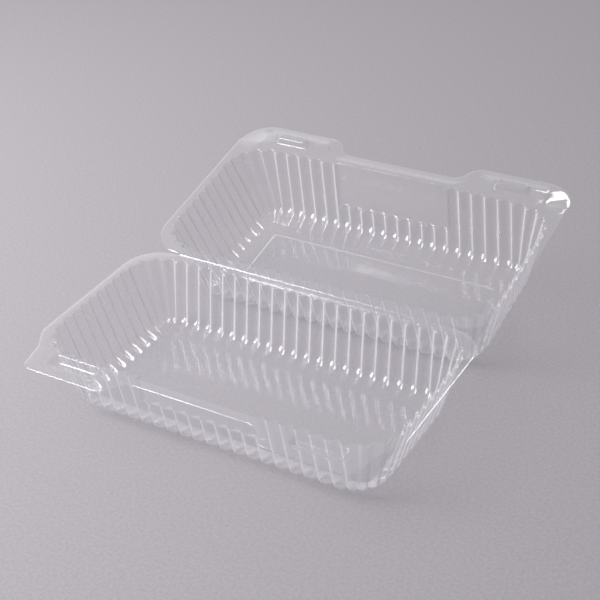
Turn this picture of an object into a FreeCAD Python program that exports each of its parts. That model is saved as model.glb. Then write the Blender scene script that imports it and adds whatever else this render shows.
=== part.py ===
import FreeCAD, Part
import math
import os

from FreeCAD import Placement, Rotation, Vector

# Clear hinged food pack, open: a fluted base tray and a deeper fluted lid, joined by a fold line.
# World frame: X along the fold, Y from the front edge to the lid, Z up, origin under the base floor.
# Tray frame: x along the fold, y away from the fold, z = 0 on top of the flange.

SIZES = [
    # shared by both trays
    ("sheet_thickness", 0.45),
    ("flange_length", 236.0),
    ("tray_reach", 136.0),
    ("recess_reach", 123.0),
    ("tab_inner_x", 48.2),
    ("recess_outer_x", 42.8),
    ("tab_curve_radius", 10.4),
    ("fold_corner_radius", 22.0),
    ("fold_groove_radius", 1.0),
    ("fold_groove_half_length", 93.0),
    ("fold_gap", 0.1),
    ("closed_gap", 0.3),
    # fluted wall, inside surface, measured at the flange, the knee and the floor
    ("wall_top_half", 110.8),
    ("wall_top_near", 8.6),
    ("near_run_half", 88.8),
    ("far_run_half", 85.0),
    ("side_run_near", 28.6),
    ("side_run_far", 91.4),
    ("flute_bulge", 2.8),
    ("flute_parts", 6),
    ("near_flutes", 20),
    ("far_flutes", 19),
    ("side_flutes", 8),
    ("corner_flutes", 4),
    ("plain_flutes", 9),
    ("panel_stand_out", 0.3),
    ("stub_cap_drop", 1.0),
    ("form_overrun", 1.0),
    # base tray
    ("base_wall_top_far", 114.0),
    ("base_knee_half", 98.8),
    ("base_knee_near", 16.0),
    ("base_knee_far", 107.8),
    ("base_floor_half", 91.0),
    ("base_floor_near", 27.8),
    ("base_floor_far", 96.0),
    ("base_knee_depth", 38.5),
    ("base_floor_depth", 42.6),
    ("base_plain_depth", 17.0),
    # lid tray
    ("lid_wall_top_far", 109.0),
    ("lid_knee_half", 97.0),
    ("lid_knee_near", 15.0),
    ("lid_knee_far", 103.2),
    ("lid_floor_half", 90.0),
    ("lid_floor_near", 27.4),
    ("lid_floor_far", 92.0),
    ("lid_knee_depth", 44.6),
    ("lid_floor_depth", 48.6),
    ("lid_plain_depth", 31.0),
    ("lid_fold_angle", 11.0),
    ("lid_panel_margin", 9.5),
    ("lid_panel_rise", 1.0),
    ("lid_corner_radius", 20.0),
    ("lid_band_width", 7.0),
    ("lid_band_drop", 1.2),
    ("lid_band_corner", 9.5),
    ("band_side_radius", 1.5),
    ("band_tab_radius", 2.0),
    # base flange ends
    ("base_side_reach", 102.5),
    ("base_side_radius", 10.0),
    ("base_neck_half", 109.5),
    ("base_neck_reach", 117.0),
    ("base_neck_radius", 8.0),
    ("base_tab_half", 105.5),
    ("base_tab_radius", 6.0),
    # lock buttons on the lid and the pockets they enter in the base
    ("lock_x", 79.0),
    ("lock_reach", 122.9),
    ("pocket_length", 31.0),
    ("pocket_width", 9.2),
    ("pocket_depth", 4.2),
    ("button_length", 23.0),
    ("button_width", 7.8),
    ("button_height", 3.6),
    ("lock_slope", 0.4),
    ("lock_overrun", 1.0),
]

doc = FreeCAD.newDocument("clamshell_pack")
sheet = doc.addObject("Spreadsheet::Sheet", "sizes")
for row, (alias, value) in enumerate(SIZES, start=1):
    sheet.set("A%d" % row, alias)
    sheet.set("B%d" % row, str(value))
    sheet.setAlias("B%d" % row, alias)
doc.recompute()


def size(alias):
    return float(getattr(sheet, alias))


def solid_feature(name, shape):
    feature = doc.addObject("Part::Feature", name)
    feature.Shape = shape
    return feature


def rounded_wire(corners):
    """Closed outline in the flange plane: straight sides and an arc of the given radius at each corner."""
    count = len(corners)
    starts = []
    ends = []
    arcs = []
    for index, (x, y, radius) in enumerate(corners):
        corner = Vector(x, y, 0)
        before = Vector(*corners[index - 1][:2], 0) - corner
        after = Vector(*corners[(index + 1) % count][:2], 0) - corner
        before.normalize()
        after.normalize()
        half_angle = before.getAngle(after) / 2
        reach = radius / math.tan(half_angle)
        bisector = before + after
        bisector.normalize()
        starts.append(corner + before * reach)
        ends.append(corner + after * reach)
        middle = corner + bisector * (radius / math.sin(half_angle) - radius)
        arcs.append(Part.Arc(starts[-1], middle, ends[-1]).toShape() if radius > 0 else None)
    edges = []
    for index in range(count):
        if arcs[index]:
            edges.append(arcs[index])
        following = starts[(index + 1) % count]
        if (following - ends[index]).Length > 1e-6:
            edges.append(Part.makeLine(ends[index], following))
    return Part.Wire(edges)


def plate(corners, bottom, top):
    face = Part.Face(rounded_wire(corners))
    face.translate(Vector(0, 0, bottom))
    return face.extrude(Vector(0, 0, top - bottom))


def mirrored(corners):
    """Right-hand corners followed by their mirror images, as one closed run."""
    left = [(-x, y, radius) for x, y, radius in reversed(corners)]
    return corners + left


def flange_corners(side_end):
    """Outline of one flange: fold edge, side, the given side end, lock tab and the recess between tabs."""
    half = size("flange_length") / 2
    reach = size("tray_reach")
    curve = size("tab_curve_radius")
    right = [(half, size("fold_groove_radius"), size("fold_corner_radius"))]
    right += side_end
    right.append((size("tab_inner_x"), reach, curve))
    right.append((size("recess_outer_x"), size("recess_reach"), curve))
    return mirrored(right)


def ring_ridges(level):
    """Inner ridge points round one level: a flute starts at each, on four straight runs and four corners."""
    near_x, far_x = size("near_run_half"), size("far_run_half")
    near_y, far_y = size("side_run_near"), size("side_run_far")
    half, near, far = level["half"], level["near"], level["far"]
    corners = [
        (far_x, far_y, half - far_x, far - far_y, 90),
        (near_x, near_y, half - near_x, near_y - near, 0),
        (-near_x, near_y, half - near_x, near_y - near, -90),
        (-far_x, far_y, half - far_x, far - far_y, 180),
    ]
    run_flutes = [size("far_flutes"), size("side_flutes"), size("near_flutes"), size("side_flutes")]
    steps = int(size("corner_flutes"))
    arcs = []
    for x, y, across, deep, first in corners:
        angles = [math.radians(first - 90 * step / steps) for step in range(steps + 1)]
        arcs.append([Vector(x + across * math.cos(turn), y + deep * math.sin(turn), 0) for turn in angles])
    points = []
    for index, arc in enumerate(arcs):
        start = arcs[index - 1][-1]
        count = int(run_flutes[index])
        points += [start + (arc[0] - start) * (step / count) for step in range(count)]
        points += arc[:-1]
    return points


def ring_points(level, inner, parts):
    """One level of the wall as a closed run of points: each flute is an outward arc cut into equal parts.

    The bulge is a share of the flute's half width on the inside surface, less what the sheet takes.
    """
    ridges = ring_ridges(level)
    inner_ridges = ring_ridges(inner)
    points = []
    for index, start in enumerate(ridges):
        following = (index + 1) % len(ridges)
        chord = ridges[following] - start
        half = chord.Length / 2
        inner_half = (inner_ridges[following] - inner_ridges[index]).Length / 2
        bulge = level["share"] * inner_half - level["less"]
        outward = Vector(-chord.y, chord.x, 0)
        outward.normalize()
        middle = start + chord * 0.5
        half_angle = 2 * math.atan2(bulge, half)
        for part in range(parts):
            if level["share"] == 0:
                point = start + chord * (part / parts)
            else:
                radius = half / math.sin(half_angle)
                turn = half_angle * (2 * part / parts - 1)
                rise = radius * (math.cos(turn) - math.cos(half_angle))
                point = middle + chord * (radius * math.sin(turn) / (2 * half)) + outward * rise
            points.append(Vector(point.x, point.y, level["z"]))
    return points


def level_between(upper, lower, z):
    """A level on the straight run through two others, also beyond them."""
    share = (upper["z"] - z) / (upper["z"] - lower["z"])
    level = {key: upper[key] + (lower[key] - upper[key]) * share for key in upper}
    level["z"] = z
    return level


def grown(level, offset, less, drop):
    """The same level on the outside of the sheet."""
    return {
        "half": level["half"] + offset,
        "near": level["near"] - offset,
        "far": level["far"] + offset,
        "share": level["share"],
        "less": less,
        "z": level["z"] - drop,
    }


def flat_face(*corners):
    return Part.Face(Part.makePolygon(list(corners) + [corners[0]]))


def wall_faces(upper, lower):
    """Strips between two levels with matching points: one flat face each, or two where a strip is twisted."""
    faces = []
    for index, first in enumerate(upper):
        following = (index + 1) % len(upper)
        second, third, fourth = upper[following], lower[following], lower[index]
        twist = (second - first).cross(fourth - first).dot(third - first)
        if abs(twist) < 1e-6:
            faces.append(flat_face(first, second, third, fourth))
        else:
            faces.append(flat_face(first, second, third))
            faces.append(flat_face(first, third, fourth))
    return faces


def rib_faces(knee, floor, parts):
    """Each flute runs out from its arc at the knee to two straight edges on the floor line."""
    faces = []
    outer_parts = (parts + 2) // 4
    for flute in range(len(floor) // 2):
        arc = [knee[(flute * parts + part) % len(knee)] for part in range(parts + 1)]
        low = [floor[(flute * 2 + part) % len(floor)] for part in range(3)]
        for part in range(parts):
            target = low[(part >= outer_parts) + (part >= parts - outer_parts)]
            faces.append(flat_face(arc[part], arc[part + 1], target))
        faces.append(flat_face(arc[outer_parts], low[1], low[0]))
        faces.append(flat_face(arc[parts - outer_parts], low[2], low[1]))
    return faces


def fluted_solid(levels, inner_levels):
    parts = int(size("flute_parts"))
    high = ring_points(levels[0], inner_levels[0], parts)
    middle = ring_points(levels[1], inner_levels[1], parts)
    low = ring_points(levels[2], inner_levels[2], 2)
    faces = wall_faces(high, middle) + rib_faces(middle, low, parts)
    faces.append(flat_face(*high))
    faces.append(flat_face(*low))
    shell = Part.makeShell(faces)
    shell.sewShape()
    solid = Part.makeSolid(shell)
    if solid.Volume < 0:
        solid.reverse()
    return solid


def wall_levels(kind):
    """Inside surface of one tray at the flange, the knee and the floor."""
    half_pitch = size("near_run_half") / size("near_flutes")
    levels = []
    for place, depth in (("wall_top", 0.0), ("knee", size(kind + "_knee_depth")), ("floor", size(kind + "_floor_depth"))):
        shared = place == "wall_top"
        levels.append({
            "half": size(("" if shared else kind + "_") + place + "_half"),
            "near": size(("" if shared else kind + "_") + place + "_near"),
            "far": size(kind + "_" + place + "_far"),
            "share": 0.0 if place == "floor" else size("flute_bulge") / half_pitch,
            "less": 0.0,
            "z": -depth,
        })
    return levels


def outside_levels(kind):
    """Outside surface of the sheet: arcs on the same centres, so the ridges move out a little further."""
    top, knee, floor = wall_levels(kind)
    thickness = size("sheet_thickness")
    bulge = size("flute_bulge")
    half_pitch = size("near_run_half") / size("near_flutes")
    radius = (half_pitch ** 2 + bulge ** 2) / (2 * bulge)
    ridge = math.sqrt((radius + thickness) ** 2 - half_pitch ** 2) - (radius - bulge)
    slope = math.atan2(floor["near"] - knee["near"], knee["z"] - floor["z"])
    knee_drop = thickness * math.tan((math.pi / 2 - slope) / 2)
    return [
        grown(top, ridge, ridge - thickness, 0.0),
        grown(knee, ridge, ridge - thickness, knee_drop),
        grown(floor, knee_drop, 0.0, thickness),
    ]


def panel_block(kind, top_z, sheet_part):
    """Block that fills the far wall out to the flutes' crests above the stubs: the plain panel.

    Its underside makes the caps of the cut-off ribs. With a sheet part of the thickness it is the outside form.
    """
    top, knee, floor = wall_levels(kind)
    depth = size(kind + "_plain_depth")
    drop = size("stub_cap_drop")
    stand_out = size("flute_bulge") + size("panel_stand_out")
    slope = drop / stand_out
    high = level_between(top, knee, top_z)
    edge = level_between(top, knee, -depth)
    foot = level_between(top, knee, -depth - drop)
    half = size("far_run_half") * size("plain_flutes") / size("far_flutes") + sheet_part
    inward = size("form_overrun")
    below = sheet_part * math.hypot(1, slope)
    outline = [
        Vector(-half, high["far"] - inward, top_z),
        Vector(-half, high["far"] + stand_out + sheet_part, top_z),
        Vector(-half, edge["far"] + stand_out + sheet_part, edge["z"] - below + sheet_part * slope),
        Vector(-half, foot["far"] - inward, foot["z"] - below - inward * slope),
    ]
    face = Part.Face(Part.makePolygon(outline + outline[:1]))
    return face.extrude(Vector(2 * half, 0, 0))


def tray_forms(kind):
    """Outside and inside forms of one tray as two solids."""
    thickness = size("sheet_thickness")
    overrun = size("form_overrun")
    inner = wall_levels(kind)
    outer = outside_levels(kind)
    raised = [level_between(inner[0], inner[1], overrun)] + inner[1:]
    lowered = [level_between(outer[0], outer[1], -thickness / 2)] + outer[1:]
    lowered_inner = [level_between(inner[0], inner[1], -thickness / 2)] + inner[1:]
    inside = fluted_solid(raised, raised).fuse(panel_block(kind, overrun, 0.0))
    outside = fluted_solid(lowered, lowered_inner).fuse(panel_block(kind, -thickness / 2, thickness))
    return outside, inside


def fold_half():
    """Quarter of the rounded groove along the fold, on one tray's side of the fold line."""
    thickness = size("sheet_thickness")
    inner = size("fold_groove_radius")
    length = 2 * size("fold_groove_half_length")
    outer = inner + thickness
    start = Vector(-length / 2, 0, 0)
    tube = Part.makeCylinder(outer, length, start, Vector(1, 0, 0))
    tube = tube.cut(Part.makeCylinder(inner, length, start, Vector(1, 0, 0)))
    quarter = Part.makeBox(length, outer, outer, Vector(-length / 2, size("fold_gap") / 2, -outer))
    return tube.common(quarter)


def base_flange():
    """Flat rim of the base with two lock tabs narrower than the tray."""
    side_end = [
        (size("flange_length") / 2, size("base_side_reach"), size("base_side_radius")),
        (size("base_neck_half"), size("base_neck_reach"), size("base_neck_radius")),
        (size("base_tab_half"), size("tray_reach"), size("base_tab_radius")),
    ]
    return plate(flange_corners(side_end), -size("sheet_thickness"), 0.0)


def band_region(offset):
    """Part of the lid rim inside its step, at a given distance from the free edge."""
    beyond = size("flange_length") / 2 + size("lid_band_width")
    reach = size("tray_reach") - offset
    recess = size("recess_reach") - offset
    run = (size("tab_inner_x") - size("recess_outer_x")) / (reach - recess)
    middle_x = (size("tab_inner_x") + size("recess_outer_x")) / 2 + offset * math.hypot(1, run)
    middle_y = (size("tray_reach") + size("recess_reach")) / 2
    curve = size("tab_curve_radius")
    corner_x = size("flange_length") / 2 - offset - size("lid_band_corner")
    right = [
        (beyond, -size("lid_band_width"), 0.0),
        (beyond, recess, 0.0),
        (corner_x, recess, size("band_side_radius")),
        (corner_x, reach, size("band_tab_radius")),
        (middle_x + run * (reach - middle_y), reach, curve - offset),
        (middle_x + run * (recess - middle_y), recess, curve + offset),
    ]
    return plate(mirrored(right), -size("lid_band_width"), size("lid_band_width"))


def lid_flange():
    """Rim of the lid: its free edge steps down into a lower finger band that covers the far corners."""
    thickness = size("sheet_thickness")
    width = size("lid_band_width")
    drop = size("lid_band_drop")
    outline = flange_corners([(size("flange_length") / 2, size("tray_reach"), size("lid_corner_radius"))])
    inner_region = band_region(width)
    kept_region = band_region(width + thickness)
    rim = plate(outline, -thickness, 0.0).common(inner_region)
    band = plate(outline, -drop - thickness, -drop).cut(kept_region)
    riser = plate(outline, -drop - thickness, 0.0).common(inner_region).cut(kept_region)
    return rim.fuse([band, riser])


def tapered_block(name, length, width, start, end, slope, place, turn):
    """Wedge primitive along its own Y from start to end, drawn in by the slope; texts are expressions."""
    block = doc.addObject("Part::Wedge", name)
    for end_mark, where in (("", start), ("2", end)):
        across = "(%s) / 2 - %s * (%s)" % (length, slope, where)
        deep = "(%s) / 2 - %s * (%s)" % (width, slope, where)
        block.setExpression("X%smin" % end_mark, "-(%s)" % across)
        block.setExpression("X%smax" % end_mark, across)
        block.setExpression("Z%smin" % end_mark, "-(%s)" % deep)
        block.setExpression("Z%smax" % end_mark, deep)
    block.setExpression("Ymin", start)
    block.setExpression("Ymax", end)
    block.Placement = Placement(Vector(0, 0, 0), Rotation(Vector(1, 0, 0), turn))
    for axis, text in zip("xyz", place):
        block.setExpression("Placement.Base.%s" % axis, text)
    return block


def lock_blocks(kind, surface, start, end, extra, turn):
    """The same tapered block at both tabs, made larger all round by the extra."""
    blocks = []
    for side, sign in (("left", "-"), ("right", "")):
        length = "sizes.%s_length + 2 * (%s)" % (kind, extra)
        width = "sizes.%s_width + 2 * (%s)" % (kind, extra)
        place = (sign + "sizes.lock_x", "sizes.lock_reach", "0")
        name = "%s_%s_%s" % (side, kind, surface)
        blocks.append(tapered_block(name, length, width, start, end, "sizes.lock_slope", place, turn))
    return blocks


def fused(name, pieces):
    fusion = doc.addObject("Part::MultiFuse", name)
    fusion.Shapes = pieces
    return fusion


def cut(name, piece, tool):
    result = doc.addObject("Part::Cut", name)
    result.Base = piece
    result.Tool = tool
    return result


def base_tray():
    outside, inside = tray_forms("base")
    solids = [solid_feature("base_outside", outside), solid_feature("base_rim", base_flange())]
    solids.append(solid_feature("base_fold", fold_half()))
    pocket_end = "sizes.pocket_depth + sizes.sheet_thickness"
    solids += lock_blocks("pocket", "form", "0", pocket_end, "sizes.sheet_thickness", -90)
    hollows = [solid_feature("base_inside", inside)]
    hollows += lock_blocks("pocket", "hollow", "-sizes.lock_overrun", "sizes.pocket_depth", "0", -90)
    return cut("base_tray", fused("base_solid", solids), fused("base_hollow", hollows))


def lid_tray():
    outside, inside = tray_forms("lid")
    length = "2 * (sizes.lid_floor_half - sizes.lid_panel_margin)"
    width = "sizes.lid_floor_far - sizes.lid_floor_near - 2 * sizes.lid_panel_margin"
    middle = "(sizes.lid_floor_far + sizes.lid_floor_near) / 2"
    under_place = ("0", middle, "-sizes.lid_floor_depth - sizes.sheet_thickness")
    over_place = ("0", middle, "-sizes.lid_floor_depth")
    start = "-sizes.form_overrun"
    under = tapered_block("panel_under", length, width, start, "sizes.lid_panel_rise", "1", under_place, 90)
    over = tapered_block("panel_over", length, width, start, "sizes.lid_panel_rise", "1", over_place, 90)
    shell_outside = cut("lid_outside_stepped", solid_feature("lid_outside", outside), under)
    shell_inside = cut("lid_inside_stepped", solid_feature("lid_inside", inside), over)
    solids = [shell_outside, solid_feature("lid_rim", lid_flange()), solid_feature("lid_fold", fold_half())]
    button_start = "-sizes.sheet_thickness / 2"
    button_roof = "sizes.button_height - sizes.sheet_thickness"
    solids += lock_blocks("button", "form", button_start, "sizes.button_height", "0", 90)
    hollows = [shell_inside]
    hollows += lock_blocks("button", "hollow", "-2 * sizes.lock_overrun", button_roof, "-sizes.sheet_thickness", 90)
    return cut("lid_tray", fused("lid_solid", solids), fused("lid_hollow", hollows))


def place_trays(base, lid):
    """Base floor on the ground, its middle at the origin; the lid turned up about the fold."""
    fold_y = "(sizes.base_floor_near + sizes.base_floor_far) / 2"
    rim_z = "sizes.base_floor_depth + sizes.sheet_thickness"
    base.Placement = Placement(Vector(0, 0, 0), Rotation(Vector(0, 0, 1), 180))
    base.setExpression("Placement.Base.y", fold_y)
    base.setExpression("Placement.Base.z", rim_z)
    lid.Placement = Placement(Vector(0, 0, 0), Rotation(Vector(1, 0, 0), size("lid_fold_angle")))
    lid.setExpression("Placement.Base.y", fold_y + " + sizes.closed_gap / 2 * sin(sizes.lid_fold_angle * 1 deg)")
    lid.setExpression("Placement.Base.z", rim_z + " + sizes.closed_gap / 2 * (1 - cos(sizes.lid_fold_angle * 1 deg))")
    lid.setExpression("Placement.Rotation.Angle", "sizes.lid_fold_angle * 1 deg")


base_node = base_tray()
lid_node = lid_tray()
place_trays(base_node, lid_node)
doc.recompute()

for item in doc.Objects:
    if "Invalid" in item.State or "Error" in item.State:
        raise RuntimeError("%s did not build: %s" % (item.Label, item.State))

os.makedirs("parts", exist_ok=True)
for node in (base_node, lid_node):
    if node.Shape.isNull() or not node.Shape.isValid():
        raise RuntimeError("%s has no valid solid" % node.Label)
    node.Shape.exportStep("parts/%s.step" % node.Label)
    print(node.Label, "solids", len(node.Shape.Solids), "volume", round(node.Shape.Volume))
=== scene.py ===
import math

import bmesh
import bpy
import numpy as np
from mathutils import Matrix, Vector
from mathutils.geometry import delaunay_2d_cdt


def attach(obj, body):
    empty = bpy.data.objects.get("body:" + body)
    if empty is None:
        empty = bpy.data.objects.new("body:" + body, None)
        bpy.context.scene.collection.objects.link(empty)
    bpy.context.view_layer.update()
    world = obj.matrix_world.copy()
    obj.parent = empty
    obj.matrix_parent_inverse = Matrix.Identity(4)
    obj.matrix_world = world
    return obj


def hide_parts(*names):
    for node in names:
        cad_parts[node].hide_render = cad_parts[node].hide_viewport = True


# Clear hinged food pack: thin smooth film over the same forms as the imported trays.
# Lengths are millimetres in the tray frame: x along the fold, y away from it, z = 0 on the flange.

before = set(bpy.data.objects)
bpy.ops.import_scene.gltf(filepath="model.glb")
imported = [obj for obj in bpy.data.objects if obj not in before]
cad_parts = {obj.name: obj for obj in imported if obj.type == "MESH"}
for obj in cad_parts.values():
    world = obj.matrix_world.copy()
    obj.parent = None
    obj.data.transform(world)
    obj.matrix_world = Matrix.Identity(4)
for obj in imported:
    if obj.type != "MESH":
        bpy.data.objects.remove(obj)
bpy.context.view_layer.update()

MM = 0.001
THICKNESS = 0.45

# Flange: half length, reach from the fold, and the recess between the two tabs.
FLANGE_HALF = 118.0
REACH = 136.0
RECESS_REACH = 123.0
TAB_INNER_X = 48.2
RECESS_OUTER_X = 42.8
TAB_CURVE = 10.4
FOLD_CORNER = 22.0

# Groove at the fold, and the gaps that the two bodies need there.
GROOVE_RADIUS = 1.0
GROOVE_HALF = 93.0
FOLD_GAP = 0.1
CLOSED_GAP = 0.3

# Fluted wall: where its straight runs end, its flutes, and the plain panel in the far wall.
RUN_NEAR_X = 88.8
RUN_FAR_X = 85.0
RUN_NEAR_Y = 28.6
RUN_FAR_Y = 91.4
FLUTE_BULGE = 2.8
PANEL_STAND_OUT = 0.3
CAP_DROP = 1.0
NEAR_FLUTES = 20
FAR_FLUTES = 19
SIDE_FLUTES = 8
CORNER_FLUTES = 4
PLAIN_FLUTES = 9
PLAIN_HALF = RUN_FAR_X * PLAIN_FLUTES / FAR_FLUTES
BULGE_SHARE = FLUTE_BULGE * NEAR_FLUTES / RUN_NEAR_X
RIDGE_ROUND = 0.44
RIDGE_MOST = 0.45
RIDGE_STEPS = 4
VALLEY_STEPS = 6
STRAIGHT_LIMIT = 0.01

# Locks, and how far the lid is turned up from level in the photograph.
LOCK_X = 79.0
LOCK_REACH = 122.9
LOCK_SLOPE = 0.4
LID_ANGLE = math.radians(11)

# Round edges and soft corners, which only this film has.
FILLET = 0.8
FILLET_STEPS = 4
KNEE_RUN = 3.4
KNEE_SHARE = 0.3
KNEE_STEPS = 10
SLOPE_SHARES = (0.45, 0.7)
CAP_ABOVE = (2.0, 0.15)
CAP_BELOW = 1.5
CAP_STEPS = 5
RIM_EDGE = 0.35
FLOOR_SHARE = 0.1
FLOOR_ROUND = 0.35
FLOOR_EDGE = 0.2
LIP_DROP = 0.3
LIP_WIDTH = 0.9
LIP_MIDDLE = 0.4
LIP_MIDDLE_DROP = 0.1
LOCK_SOFT = 0.5
LOCK_TOP_STEPS = 3
LOCK_FOOT_SHARE = 0.2
LOCK_FOOT_STEPS = 4
LOCK_CORNER = 1.6
LOCK_CORNER_SHRINK = 0.4
LOCK_CORNER_LEAST = 0.4
ARC_LEAST_STEPS = 4
ARC_STEP = 0.12
SHARP_EDGE = math.radians(50)

# Levels of the inside surface: half length, near and far side, bulge of the flutes, height.
# Then the depth of the plain panel, the length, width and height of a lock, and the flange's side corners.
BASE = {
    "top": (110.8, 8.6, 114.0, BULGE_SHARE, 0.0),
    "knee": (98.8, 16.0, 107.8, BULGE_SHARE, -38.5),
    "floor": (91.0, 27.8, 96.0, 0.0, -42.6),
    "plain": 17.0,
    "lock": (31.0, 9.2, -4.2),
    "side_end": [(FLANGE_HALF, 102.5, 10.0), (109.5, 117.0, 8.0), (105.5, REACH, 6.0)],
}
LID = {
    "top": (110.8, 8.6, 109.0, BULGE_SHARE, 0.0),
    "knee": (97.0, 15.0, 103.2, BULGE_SHARE, -44.6),
    "floor": (90.0, 27.4, 92.0, 0.0, -48.6),
    "plain": 31.0,
    "lock": (23.0, 7.8, 3.6),
    "side_end": [(FLANGE_HALF, REACH, 20.0)],
}

# Raised panel in the lid's floor, and the finger band along the lid's free edge.
PANEL_MARGIN = 9.5
PANEL_RISE = 1.0
PANEL_CORNER = 1.5
PANEL_FOOT = ((-0.8, 0), (0, 0), (0.3, 0.3))
PANEL_EDGE = ((0.7, 0.7), (1, 1), (1.8, 1))
PANEL_STEPS = 4
BAND_WIDTH = 7.0
BAND_DROP = 1.2
BAND_CORNER = 9.5
BAND_SIDE_RADIUS = 1.5
BAND_TAB_RADIUS = 2.0
BAND_LEAST_RADIUS = 1.0
BAND_END = 1.2
BAND_SLOPE = 0.9
BAND_LINES = 5


def blend(first, second, share):
    """Level or point between two others."""
    return tuple(a + (b - a) * share for a, b in zip(first, second))


def grown(level, offset):
    """The same level with its outline moved outward."""
    half, near, far, bulge, z = level
    return (half + offset, near - offset, far + offset, bulge, z)


def rounded(before, corner, after, steps):
    """Levels along a soft corner from before to after."""
    levels = []
    for step in range(steps + 1):
        share = step / steps
        levels.append(blend(blend(before, corner, share), blend(corner, after, share), share))
    return levels


def ridge_points(level):
    """Inner ridge points round one level, four straight runs and four corners."""
    half, near, far = level[:3]
    corners = [
        (RUN_FAR_X, RUN_FAR_Y, half - RUN_FAR_X, far - RUN_FAR_Y, 90),
        (RUN_NEAR_X, RUN_NEAR_Y, half - RUN_NEAR_X, RUN_NEAR_Y - near, 0),
        (-RUN_NEAR_X, RUN_NEAR_Y, half - RUN_NEAR_X, RUN_NEAR_Y - near, -90),
        (-RUN_FAR_X, RUN_FAR_Y, half - RUN_FAR_X, far - RUN_FAR_Y, 180),
    ]
    run_flutes = [FAR_FLUTES, SIDE_FLUTES, NEAR_FLUTES, SIDE_FLUTES]
    arcs = []
    for x, y, across, deep, first in corners:
        arc = []
        for step in range(CORNER_FLUTES + 1):
            turn = math.radians(first - 90 * step / CORNER_FLUTES)
            arc.append(Vector((x + across * math.cos(turn), y + deep * math.sin(turn))))
        arcs.append(arc)
    points = []
    for index, arc in enumerate(arcs):
        start = arcs[index - 1][-1]
        count = run_flutes[index]
        points += [start.lerp(arc[0], step / count) for step in range(count)]
        points += arc[:-1]
    return points


def flute_shares():
    """Places along a flute's chord, closer together where the round ridges turn fast."""
    slope = 2 * math.atan(BULGE_SHARE)
    wide = 1 / math.sin(slope) - RIDGE_ROUND
    shares = [RIDGE_ROUND * math.sin(slope * step / RIDGE_STEPS) / 2 for step in range(RIDGE_STEPS)]
    for step in range(VALLEY_STEPS // 2):
        shares.append((1 - wide * math.sin(slope * (1 - 2 * step / VALLEY_STEPS))) / 2)
    return shares + [0.5] + [1 - share for share in reversed(shares[1:])]


def flute_height(share, half, bulge):
    """Outward height of one flute along its chord: a wide arc that runs into small round ridges."""
    if bulge <= 0:
        return 0.0
    slope = 2 * math.atan2(bulge, half)
    both = half / math.sin(slope)
    ridge = min(RIDGE_ROUND * half, RIDGE_MOST * both)
    wide = both - ridge
    from_ridge = min(share, 1 - share) * 2 * half
    if from_ridge < ridge * math.sin(slope):
        return ridge - math.sqrt(ridge * ridge - from_ridge * from_ridge)
    across = half - from_ridge
    return bulge - wide + math.sqrt(wide * wide - across * across)


FLUTE_SHARES = flute_shares()


def ring(level, plain_depth):
    """One closed run of points round the wall, on the fluted inside surface."""
    z = level[4]
    ridges = ridge_points(level)
    # from one beside the plain panel to zero under the caps
    panel = min(max(1 - (-plain_depth - z) / CAP_DROP, 0), 1)
    points = []
    was_plain = False
    for index, start in enumerate(ridges):
        end = ridges[(index + 1) % len(ridges)]
        chord = end - start
        half = chord.length / 2
        bulge = level[3] * half
        outward = Vector((-chord.y, chord.x)).normalized()
        middle = (start + end) / 2
        on_far_wall = middle.y > RUN_FAR_Y and abs(chord.y) < STRAIGHT_LIMIT
        plain = on_far_wall and abs(middle.x) < PLAIN_HALF
        for share in FLUTE_SHARES:
            rise = flute_height(share, half, bulge)
            if plain and (share > 0 or was_plain):
                rise = max(rise, (bulge + PANEL_STAND_OUT) * panel)
            place = start.lerp(end, share) + outward * rise
            points.append((place.x, place.y, z))
        was_plain = plain
    return points


def wall_levels(tray):
    """Levels from the flange fillet down over the knee to the floor."""
    top, knee, floor = tray["top"], tray["knee"], tray["floor"]
    depth = -knee[4]
    below = blend(top, knee, FILLET / depth)
    levels = rounded(grown(top, FILLET), top, below, FILLET_STEPS)
    # close levels about the caps, where the plain panel drops back to the ribs
    plain = tray["plain"]
    stops = [plain - above for above in CAP_ABOVE]
    stops += [plain + CAP_DROP * step / CAP_STEPS for step in range(CAP_STEPS + 1)]
    stops.append(plain + CAP_BELOW)
    levels += [blend(top, knee, stop / depth) for stop in stops]
    levels += rounded(blend(knee, top, KNEE_RUN / depth), knee, blend(knee, floor, KNEE_SHARE), KNEE_STEPS)
    levels += [blend(knee, floor, share) for share in SLOPE_SHARES]
    levels += rounded(blend(floor, knee, FLOOR_SHARE), floor, grown(floor, -FLOOR_ROUND), FILLET_STEPS)
    return levels


def rounded_loop(corners, spacing):
    """Closed outline with an arc at each corner and points at most the spacing apart."""
    count = len(corners)
    runs = []
    for index, (x, y, radius) in enumerate(corners):
        corner = Vector((x, y))
        before = (Vector(corners[index - 1][:2]) - corner).normalized()
        after = (Vector(corners[(index + 1) % count][:2]) - corner).normalized()
        half_angle = before.angle(after) / 2
        if radius <= 0:
            runs.append([corner])
            continue
        reach = radius / math.tan(half_angle)
        centre = corner + (before + after).normalized() * (radius / math.sin(half_angle))
        start = corner + before * reach - centre
        sweep = math.pi - 2 * half_angle
        if start.cross(corner + after * reach - centre) < 0:
            sweep = -sweep
        steps = max(ARC_LEAST_STEPS, int(abs(sweep) * radius / spacing) + 1, int(abs(sweep) / ARC_STEP))
        run = []
        for step in range(steps + 1):
            turn = sweep * step / steps
            across = start.x * math.cos(turn) - start.y * math.sin(turn)
            along = start.x * math.sin(turn) + start.y * math.cos(turn)
            run.append(centre + Vector((across, along)))
        runs.append(run)
    points = []
    for index, run in enumerate(runs):
        points += run
        following = runs[(index + 1) % count][0]
        gap = (following - run[-1]).length
        pieces = max(1, int(gap / spacing))
        points += [run[-1].lerp(following, step / pieces) for step in range(1, pieces)]
    return points


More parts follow.
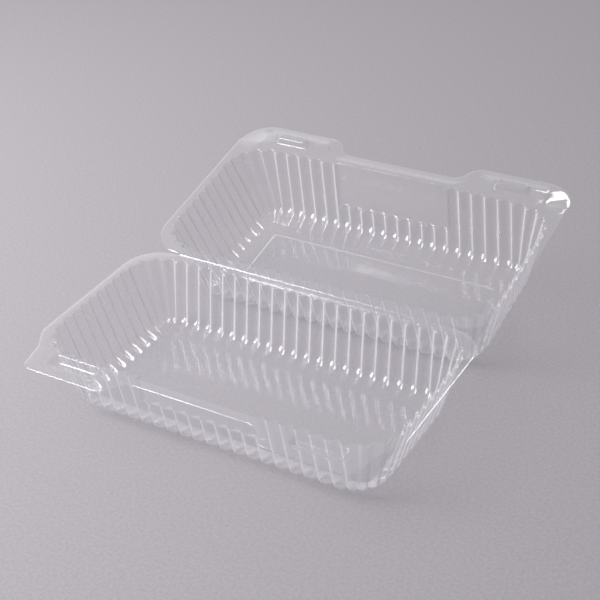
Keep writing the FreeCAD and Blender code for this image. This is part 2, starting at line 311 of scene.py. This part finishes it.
def inset_loop(points, distance):
    """The same loop moved inward, for loops that run clockwise."""
    moved = []
    for index, point in enumerate(points):
        along = points[(index + 1) % len(points)] - points[index - 1]
        inward = Vector((along.y, -along.x)).normalized()
        moved.append(point + inward * distance)
    return moved


def mirrored(right):
    """Corners of the right half followed by those of the left half."""
    return right + [(-x, y, radius) for x, y, radius in reversed(right)]


def flange_outline(tray):
    """Clockwise outline of the flange, seen from above."""
    right = [(FLANGE_HALF, GROOVE_RADIUS, FOLD_CORNER)] + tray["side_end"]
    right += [(TAB_INNER_X, REACH, TAB_CURVE), (RECESS_OUTER_X, RECESS_REACH, TAB_CURVE)]
    return rounded_loop(list(reversed(mirrored(right))), spacing=1.5)


def band_line(offset):
    """Open line of the lid's step, a given distance in from the free edge."""
    reach = REACH - offset
    recess = RECESS_REACH - offset
    run = (TAB_INNER_X - RECESS_OUTER_X) / (reach - recess)
    middle_x = (TAB_INNER_X + RECESS_OUTER_X) / 2 + offset * math.hypot(1, run)
    half_rise = (REACH - RECESS_REACH) / 2
    corner_x = FLANGE_HALF - offset - BAND_CORNER
    right = [
        (FLANGE_HALF - BAND_END, recess, 0),
        (corner_x, recess, BAND_SIDE_RADIUS),
        (corner_x, reach, BAND_TAB_RADIUS),
        (middle_x + run * half_rise, reach, max(TAB_CURVE - offset, BAND_LEAST_RADIUS)),
        (middle_x - run * half_rise, recess, TAB_CURVE + offset),
    ]
    loop = rounded_loop(mirrored(right), spacing=2.0)
    last = max(index for index, point in enumerate(loop) if point.x <= BAND_END - FLANGE_HALF + 1e-6)
    return loop[:last + 1]


def distance_to_line(points, line):
    """Distance of each point to an open line of points."""
    starts = np.array(line[:-1])
    ends = np.array(line[1:])
    along = ends - starts
    lengths = np.maximum((along ** 2).sum(1), 1e-12)
    best = np.full(len(points), np.inf)
    for start, run, length in zip(starts, along, lengths):
        share = np.clip(((points - start) @ run) / length, 0, 1)
        gap = points - start - share[:, None] * run
        best = np.minimum(best, np.sqrt((gap ** 2).sum(1)))
    return best


def inside(points, loop):
    """True for each point within a closed loop."""
    corners = np.array(loop)
    following = np.roll(corners, -1, axis=0)
    x, y = points[:, 0], points[:, 1]
    result = np.zeros(len(points), bool)
    for (x1, y1), (x2, y2) in zip(corners, following):
        if y1 == y2:
            continue
        crosses = (y1 > y) != (y2 > y)
        result ^= crosses & (x < x1 + (x2 - x1) * (y - y1) / (y2 - y1))
    return result


def filled(loops, outer, holes, lines=()):
    """Flat fill between loops of (points, height): vertices with heights and triangles."""
    points = []
    heights = []
    edges = []
    for loop, height in loops:
        first = len(points)
        points += loop
        heights += [height] * len(loop)
        edges += [(first + k, first + (k + 1) % len(loop)) for k in range(len(loop))]
    for line, height in lines:
        first = len(points)
        points += line
        heights += [height] * len(line)
        edges += [(first + k, first + k + 1) for k in range(len(line) - 1)]
    result = delaunay_2d_cdt([Vector(p) for p in points], edges, [], 0, 1e-5, True)
    verts, faces, origins = result[0], result[2], result[3]
    places = np.array([[v.x, v.y] for v in verts])
    z = np.array([heights[ids[0]] if ids else 0.0 for ids in origins])
    middles = np.array([places[list(face)].mean(0) for face in faces])
    keep = inside(middles, outer)
    for hole in holes:
        keep &= ~inside(middles, hole)
    return places, z, [face for face, kept in zip(faces, keep) if kept]


def lock_loops(tray, side):
    """Rounded rectangles of a lock pocket or button with their heights, from the flange to its far face."""
    length, width, height = tray["lock"]
    run = LOCK_SLOPE * abs(height)
    start = (0.0, 0.0)
    end = (run, abs(height))
    past_end = (run + LOCK_SOFT, abs(height))
    profile = rounded((-LOCK_SOFT, 0.0), start, (LOCK_SOFT * LOCK_SLOPE, LOCK_SOFT), LOCK_TOP_STEPS)
    profile += rounded(blend(end, start, LOCK_FOOT_SHARE), end, past_end, LOCK_FOOT_STEPS)
    loops = []
    for inset, rise in profile:
        half_x, half_y = length / 2 - inset, width / 2 - inset
        radius = max(LOCK_CORNER - inset * LOCK_CORNER_SHRINK, LOCK_CORNER_LEAST)
        corners = []
        for sign_x, sign_y in ((-1, -1), (-1, 1), (1, 1), (1, -1)):
            corners.append((side * LOCK_X + sign_x * half_x, LOCK_REACH + sign_y * half_y, radius))
        loops.append((rounded_loop(corners, spacing=4.0), math.copysign(rise, height)))
    return loops


def add_rows(mesh, rows, closed):
    """Four-sided faces between rows of points. The rows of the wall are closed, those of the groove open."""
    previous = None
    for points in rows:
        row = [mesh.verts.new(point) for point in points]
        if previous:
            for index in range(len(row) if closed else len(row) - 1):
                after = (index + 1) % len(row)
                mesh.faces.new((previous[index], previous[after], row[after], row[index]))
        previous = row


def add_fill(mesh, places, z, faces):
    """The triangles of one fill."""
    made = [mesh.verts.new((x, y, height)) for (x, y), height in zip(places, z)]
    for face in faces:
        mesh.faces.new([made[index] for index in face])


def flat(points):
    """The same points without their heights."""
    return [Vector(point[:2]) for point in points]


def band_drop(places):
    """How far the lid's finger band lies below the rim at each place, with a soft step between them."""
    middle = band_line(BAND_WIDTH - BAND_SLOPE / 2)
    beyond = 20
    outside = FLANGE_HALF + beyond
    rim = middle + [Vector((-outside, middle[-1].y)), Vector((-outside, -beyond)),
                    Vector((outside, -beyond)), Vector((outside, middle[0].y))]
    gap = distance_to_line(places, middle)
    gap[inside(places, rim)] *= -1
    share = np.clip(gap / BAND_SLOPE + 0.5, 0, 1)
    return BAND_DROP * share * share * (3 - 2 * share)


def rim_fill(tray, stepped, top_level, wall_edge):
    """Flange with its lip, the locks and, on the lid, the stepped finger band."""
    flat_edge = flat(ring(grown(top_level, RIM_EDGE), tray["plain"]))
    outline = flange_outline(tray)
    loops = [(wall_edge, 0.0), (flat_edge, 0.0)]
    loops += [(outline, -LIP_DROP), (inset_loop(outline, LIP_MIDDLE), -LIP_MIDDLE_DROP),
              (inset_loop(outline, LIP_WIDTH), 0.0)]
    for side in (-1, 1):
        loops += lock_loops(tray, side)
    lines = []
    if stepped:
        for step in range(BAND_LINES + 1):
            lines.append((band_line(BAND_WIDTH - BAND_SLOPE * step / BAND_LINES), 0.0))
    places, z, faces = filled(loops, outline, [wall_edge], lines)
    # the rim has no lip along the fold
    by_fold = places[:, 1] < GROOVE_RADIUS + THICKNESS
    on_fold = by_fold & (np.abs(places[:, 0]) < GROOVE_HALF + GROOVE_RADIUS)
    z[on_fold] = 0.0
    if stepped:
        z -= band_drop(places)
    return places, z, faces


def floor_fill(tray, stepped, floor_level, floor_edge):
    """Floor of the tray, with the raised panel in the lid."""
    floor_z = floor_level[4]
    inner_floor = flat(ring(grown(floor_level, -FLOOR_EDGE), tray["plain"]))
    loops = [(floor_edge, floor_z), (inner_floor, floor_z)]
    if stepped:
        half, near, far = tray["floor"][:3]
        for inset, rise in rounded(*PANEL_FOOT, PANEL_STEPS) + rounded(*PANEL_EDGE, PANEL_STEPS):
            x = half - PANEL_MARGIN - inset
            y1 = near + PANEL_MARGIN + inset
            y2 = far - PANEL_MARGIN - inset
            corners = [(across, y, PANEL_CORNER) for across, y in ((-x, y1), (-x, y2), (x, y2), (x, y1))]
            loops.append((rounded_loop(corners, spacing=6.0), floor_z + rise * PANEL_RISE))
    return filled(loops, floor_edge, [])


def groove_rows():
    """Quarter of the fold groove: rows of points along the fold, turning down from the rim."""
    stations = 125
    turns = 9
    last_turn = 87
    rows = []
    for step in range(turns):
        turn = math.radians(last_turn * step / (turns - 1))
        y = max(GROOVE_RADIUS * math.cos(turn), FOLD_GAP / 2)
        z = -GROOVE_RADIUS * math.sin(turn)
        rows.append([(-GROOVE_HALF + 2 * GROOVE_HALF * place / (stations - 1), y, z)
                     for place in range(stations)])
    return rows


def tray_mesh(tray, stepped):
    """The whole film surface of one tray in its own frame, seen side up."""
    mesh = bmesh.new()
    levels = wall_levels(tray)
    rings = [ring(level, tray["plain"]) for level in levels]
    add_rows(mesh, rings, True)
    add_fill(mesh, *rim_fill(tray, stepped, levels[0], flat(rings[0])))
    add_fill(mesh, *floor_fill(tray, stepped, levels[-1], flat(rings[-1])))
    add_rows(mesh, groove_rows(), False)
    bmesh.ops.remove_doubles(mesh, verts=mesh.verts, dist=1e-4)
    bmesh.ops.recalc_face_normals(mesh, faces=mesh.faces)
    # the floor faces up, so that the sheet's thickness goes to the outside
    lowest = min(mesh.faces, key=lambda face: face.calc_center_median().z)
    if lowest.normal.z < 0:
        bmesh.ops.reverse_faces(mesh, faces=mesh.faces)
    return mesh


def film(name, node, body, tray, stepped, place, material):
    """One tray as a thin sheet in place of its CAD node."""
    work = tray_mesh(tray, stepped)
    data = bpy.data.meshes.new(name + "_surface")
    work.to_mesh(data)
    work.free()
    data.transform(place @ Matrix.Scale(MM, 4))
    piece = bpy.data.objects.new(name, data)
    bpy.context.scene.collection.objects.link(piece)
    sheet = piece.modifiers.new("sheet", "SOLIDIFY")
    sheet.thickness = THICKNESS * MM
    sheet.offset = -1
    sheet.use_even_offset = True
    depsgraph = bpy.context.evaluated_depsgraph_get()
    solid = bpy.data.meshes.new_from_object(piece.evaluated_get(depsgraph))
    piece.modifiers.clear()
    piece.data = solid
    solid.name = name
    solid.shade_smooth()
    solid.set_sharp_from_angle(angle=SHARP_EDGE)
    solid.materials.clear()
    solid.materials.append(material)
    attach(piece, body)
    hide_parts(node)
    return piece


def add_noise(nodes, links, scale, detail):
    """Soft noise in the piece's own coordinates."""
    coordinates = nodes.new("ShaderNodeTexCoord")
    noise = nodes.new("ShaderNodeTexNoise")
    noise.inputs["Scale"].default_value = scale
    noise.inputs["Detail"].default_value = detail
    links.new(coordinates.outputs["Object"], noise.inputs["Vector"])
    return noise.outputs["Fac"]


def any_ray(nodes, links, kinds):
    """One for the rays of these kinds, and zero for all others."""
    path = nodes.new("ShaderNodeLightPath")
    found = path.outputs[kinds[0]]
    for kind in kinds[1:]:
        either = nodes.new("ShaderNodeMath")
        either.operation = "MAXIMUM"
        links.new(found, either.inputs[0])
        links.new(path.outputs[kind], either.inputs[1])
        found = either.outputs[0]
    return found


def mixed(nodes, links, share, first, second):
    """Mix of two shaders: the second one where the share is one."""
    mix = nodes.new("ShaderNodeMixShader")
    links.new(share, mix.inputs["Fac"])
    links.new(first, mix.inputs[1])
    links.new(second, mix.inputs[2])
    return mix.outputs["Shader"]


def new_material(name):
    """New material with its nodes, its links and its main shader."""
    material = bpy.data.materials.new(name)
    material.use_nodes = True
    nodes = material.node_tree.nodes
    return material, nodes, material.node_tree.links, nodes["Principled BSDF"]


def film_material(name, colour):
    """Clear glossy film; lamps shine through it without bending, so that the floor keeps a light shadow."""
    material, nodes, links, shader = new_material(name)
    shader.inputs["Base Color"].default_value = (*colour, 1)
    # a thin sheet hardly bends what is seen through it, so the gloss is a coat of its own
    shader.inputs["IOR"].default_value = 1.02
    shader.inputs["Coat Weight"].default_value = 1.0
    shader.inputs["Coat IOR"].default_value = 1.5
    shader.inputs["Coat Roughness"].default_value = 0.10
    # slight waves of the formed sheet
    bump = nodes.new("ShaderNodeBump")
    bump.inputs["Strength"].default_value = 0.14
    bump.inputs["Distance"].default_value = 0.0008
    links.new(add_noise(nodes, links, 55.0, 2.0), bump.inputs["Height"])
    links.new(bump.outputs["Normal"], shader.inputs["Normal"])
    links.new(bump.outputs["Normal"], shader.inputs["Coat Normal"])
    spread = nodes.new("ShaderNodeMapRange")
    spread.inputs["To Min"].default_value = 0.03
    spread.inputs["To Max"].default_value = 0.12
    links.new(add_noise(nodes, links, 120.0, 3.0), spread.inputs["Value"])
    links.new(spread.outputs["Result"], shader.inputs["Roughness"])
    # seen along its surface, the film shows its haze
    along = nodes.new("ShaderNodeLayerWeight")
    along.inputs["Blend"].default_value = 0.5
    clearness = nodes.new("ShaderNodeMapRange")
    clearness.inputs["From Min"].default_value = 0.45
    clearness.inputs["To Min"].default_value = 0.965
    clearness.inputs["To Max"].default_value = 0.35
    links.new(along.outputs["Facing"], clearness.inputs["Value"])
    links.new(clearness.outputs["Result"], shader.inputs["Transmission Weight"])
    clear = nodes.new("ShaderNodeBsdfTransparent")
    clear.inputs["Color"].default_value = (0.97, 0.968, 0.975, 1)
    straight = any_ray(nodes, links, ("Is Shadow Ray", "Is Diffuse Ray"))
    surface = mixed(nodes, links, straight, shader.outputs["BSDF"], clear.outputs["BSDF"])
    links.new(surface, nodes["Material Output"].inputs["Surface"])
    return material


# places of both trays in the shared frame
RIM_HEIGHT = 43.05
FOLD_Y = 61.9
base_place = Matrix.Translation(Vector((0, FOLD_Y, RIM_HEIGHT)) * MM) @ Matrix.Rotation(math.pi, 4, "Z")
lid_shift = Vector((0, FOLD_Y + CLOSED_GAP / 2 * math.sin(LID_ANGLE),
                    RIM_HEIGHT + CLOSED_GAP / 2 * (1 - math.cos(LID_ANGLE))))
lid_place = Matrix.Translation(lid_shift * MM) @ Matrix.Rotation(LID_ANGLE, 4, "X")

FILM_COLOUR = (0.99, 0.985, 1.0)
base_material = film_material("base_film", FILM_COLOUR)
lid_material = film_material("lid_film", FILM_COLOUR)
film("base_sheet", "base_tray", "base", BASE, False, base_place, base_material)
film("lid_sheet", "lid_tray", "lid", LID, True, lid_place, lid_material)


def floor_material(name, colour):
    """Plain matt paper with a fine grain."""
    material, nodes, links, shader = new_material(name)
    shader.inputs["Roughness"].default_value = 0.9
    shader.inputs["Specular IOR Level"].default_value = 0.1
    shades = nodes.new("ShaderNodeValToRGB")
    for element, place, light in zip(shades.color_ramp.elements, (0.3, 0.7), (0.93, 1.07)):
        element.position = place
        element.color = (*(part * light for part in colour), 1)
    links.new(add_noise(nodes, links, 560.0, 3.0), shades.inputs["Fac"])
    links.new(shades.outputs["Color"], shader.inputs["Base Color"])
    return material


# floor
FLOOR_COLOUR = (0.435, 0.415, 0.44)
FLOOR_HALF = 4.0
floor_corners = [(-FLOOR_HALF, -FLOOR_HALF, 0), (FLOOR_HALF, -FLOOR_HALF, 0),
                 (FLOOR_HALF, FLOOR_HALF, 0), (-FLOOR_HALF, FLOOR_HALF, 0)]
floor_mesh = bpy.data.meshes.new("floor")
floor_mesh.from_pydata(floor_corners, [], [(0, 1, 2, 3)])
floor = bpy.data.objects.new("floor", floor_mesh)
floor_mesh.materials.append(floor_material("floor", FLOOR_COLOUR))
bpy.context.scene.collection.objects.link(floor)

# room: dim where it lights the floor, brighter where the film mirrors it
world = bpy.data.worlds.new("studio")
bpy.context.scene.world = world
world.use_nodes = True
world_nodes = world.node_tree.nodes
world_links = world.node_tree.links
room = world_nodes["Background"]
room.inputs["Color"].default_value = (0.80, 0.79, 0.81, 1)
room.inputs["Strength"].default_value = 0.26
seen_room = world_nodes.new("ShaderNodeBackground")
seen_room.inputs["Color"].default_value = (0.97, 0.97, 0.98, 1)
seen_room.inputs["Strength"].default_value = 0.5
seen = any_ray(world_nodes, world_links, ("Is Camera Ray", "Is Glossy Ray", "Is Transmission Ray"))
both_rooms = mixed(world_nodes, world_links, seen,
                   room.outputs["Background"], seen_room.outputs["Background"])
world_links.new(both_rooms, world_nodes["World Output"].inputs["Surface"])


def lamp(name, place, width, height, power, colour):
    """Rectangular lamp that shines at the middle of the pack."""
    data = bpy.data.lights.new(name, "AREA")
    data.shape = "RECTANGLE"
    data.size = width
    data.size_y = height
    data.energy = power
    data.color = colour
    made = bpy.data.objects.new(name, data)
    made.location = place
    aim = CENTRE - Vector(place)
    made.rotation_mode = "QUATERNION"
    made.rotation_quaternion = aim.to_track_quat("-Z", "Y")
    bpy.context.scene.collection.objects.link(made)


CENTRE = Vector((0.0, 0.06, 0.03))
LILAC = (1, 0.99, 1)
WHITE = (1, 1, 1)
lamp("key_high", (-0.78, -0.30, 1.13), 0.65, 0.5, 12.5, LILAC)
lamp("key_low", (-1.0, -0.74, 0.85), 0.7, 0.4, 10.0, LILAC)
lamp("back", (0.0, 1.1, 1.1), 0.35, 0.25, 2.6, WHITE)
lamp("side", (-1.3, -0.5, 0.4), 1.0, 0.5, 3.5, WHITE)

# camera as in the photograph
AZIMUTH = math.radians(33.21)
ELEVATION = math.radians(33.45)
ROLL = math.radians(-4.64)
DISTANCE = 0.7932
FOCAL_PIXELS = 1355
PICTURE_PIXELS = 600
SENSOR = 36.0
TARGET = Vector((2.87, 49.23, 43.05)) * MM
back = Vector((math.sin(AZIMUTH) * math.cos(ELEVATION), -math.cos(AZIMUTH) * math.cos(ELEVATION),
               math.sin(ELEVATION)))
right = Vector((math.cos(AZIMUTH), math.sin(AZIMUTH), 0))
up = right.cross(-back)
right, up = (right * math.cos(ROLL) + up * math.sin(ROLL),
             up * math.cos(ROLL) - right * math.sin(ROLL))
camera_data = bpy.data.cameras.new("camera")
camera_data.sensor_width = SENSOR
camera_data.lens = SENSOR * FOCAL_PIXELS / PICTURE_PIXELS
camera_data.clip_start = 0.01
camera = bpy.data.objects.new("camera", camera_data)
turned = Matrix((right, up, back)).transposed().to_4x4()
camera.matrix_world = Matrix.Translation(TARGET + back * DISTANCE) @ turned
bpy.context.scene.collection.objects.link(camera)
bpy.context.scene.camera = camera

bpy.context.scene.view_settings.view_transform = "Standard"
